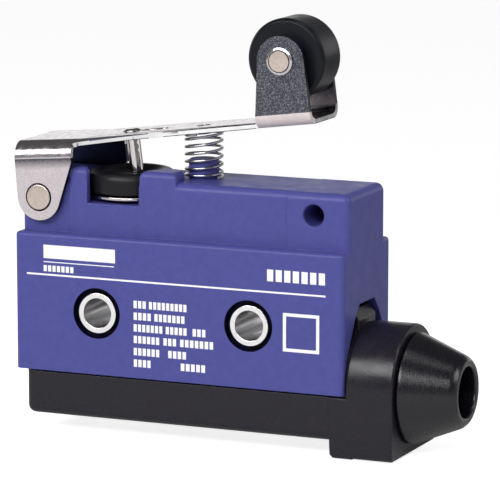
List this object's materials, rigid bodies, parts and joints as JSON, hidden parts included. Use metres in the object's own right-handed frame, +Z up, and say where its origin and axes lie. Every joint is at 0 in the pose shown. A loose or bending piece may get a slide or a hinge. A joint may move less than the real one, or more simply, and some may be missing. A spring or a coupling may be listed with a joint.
{
  "type": "limit switch",
  "caption": "Enclosed limit switch with a hinged roller lever, a sealed plunger and a cable gland at one end.",
  "frame": {"origin": "on the flat back face, midway between the two fixing holes", "axes": "+X along the body towards the cable gland, +Y out of the back face, +Z up towards the lever"},
  "size_m": [0.072, 0.0191, 0.0654],
  "materials": {
    "blue_housing": "fine mould texture, satin",
    "black_plastic": "satin",
    "black_rubber": "matt",
    "zinc_plated_sheet": "bright zinc or nickel plating, finely mottled",
    "plated_pin": "bright plated, warm tint",
    "spring_steel": "drawn wire and strip",
    "brass": "satin",
    "silver_contact": "polished",
    "brown_thermoset": "matt",
    "white_acetal": "satin"
  },
  "bodies": {
    "root": {"housing": "blue_housing", "mounting_eyelet_left": "zinc_plated_sheet", "mounting_eyelet_right": "zinc_plated_sheet", "rubber_boot": "black_rubber", "boot_clamp_ring": "spring_steel", "plunger_guide": "brass", "return_spring": "spring_steel", "overtravel_spring": "spring_steel", "switch_base": "brown_thermoset", "common_terminal": "brass", "no_terminal": "brass", "nc_terminal": "brass", "terminal_screw_common": "zinc_plated_sheet", "terminal_screw_no": "zinc_plated_sheet", "terminal_screw_nc": "zinc_plated_sheet", "wire_clamp_common": "zinc_plated_sheet", "wire_clamp_no": "zinc_plated_sheet", "wire_clamp_nc": "zinc_plated_sheet", "no_contact": "silver_contact", "nc_contact": "silver_contact", "terminal_cover": "black_plastic", "cover_screw_left": "zinc_plated_sheet", "cover_screw_right": "zinc_plated_sheet", "cover_gasket": "black_rubber", "gland_seal": "black_rubber", "gland_washer": "zinc_plated_sheet"},
    "lever": {"lever_arm": "zinc_plated_sheet", "lever_pivot_pin": "plated_pin", "push_pin": "plated_pin", "roller_pin": "plated_pin"},
    "roller": {"roller": "black_plastic"},
    "plunger": {"plunger": "white_acetal"},
    "snap_blade": {"snap_blade": "spring_steel", "moving_contact": "silver_contact"},
    "gland_nut": {"gland_nut": "black_plastic"}
  },
  "joints": [
    {"name": "lever_pivot", "type": "hinge", "parent": "root", "child": "lever", "pos_m": [-0.02315, -0.00955, 0.01725], "axis": [0, 1, 0], "range_deg": [0, 7], "stiffness_Nm_per_rad": 0.5, "springref_deg": -11.46, "deforming": ["return_spring"]},
    {"name": "roller_spin", "type": "hinge", "parent": "lever", "child": "roller", "pos_m": [0.01619, -0.00955, 0.03995], "axis": [0, 1, 0], "continuous": true},
    {"name": "plunger_slide", "type": "slide", "parent": "root", "child": "plunger", "axis": [0, 0, -1], "range_m": [0, 0.00155], "deforming": ["rubber_boot", "overtravel_spring"]},
    {"name": "snap_blade_pivot", "type": "hinge", "parent": "root", "child": "snap_blade", "pos_m": [-0.016, -0.00955, 0.0114], "axis": [0, 1, 0], "range_deg": [0, 2.1]},
    {"name": "gland_nut_turn", "type": "hinge", "parent": "root", "child": "gland_nut", "pos_m": [0.0365, -0.00955, -0.0094], "axis": [1, 0, 0], "continuous": true}
  ],
  "couplings": [
    {"joint": "plunger_slide", "follows": "lever_pivot", "m_per_rad": 0.0122},
    {"joint": "snap_blade_pivot", "follows": "lever_pivot", "ratio": 0.28}
  ]
}
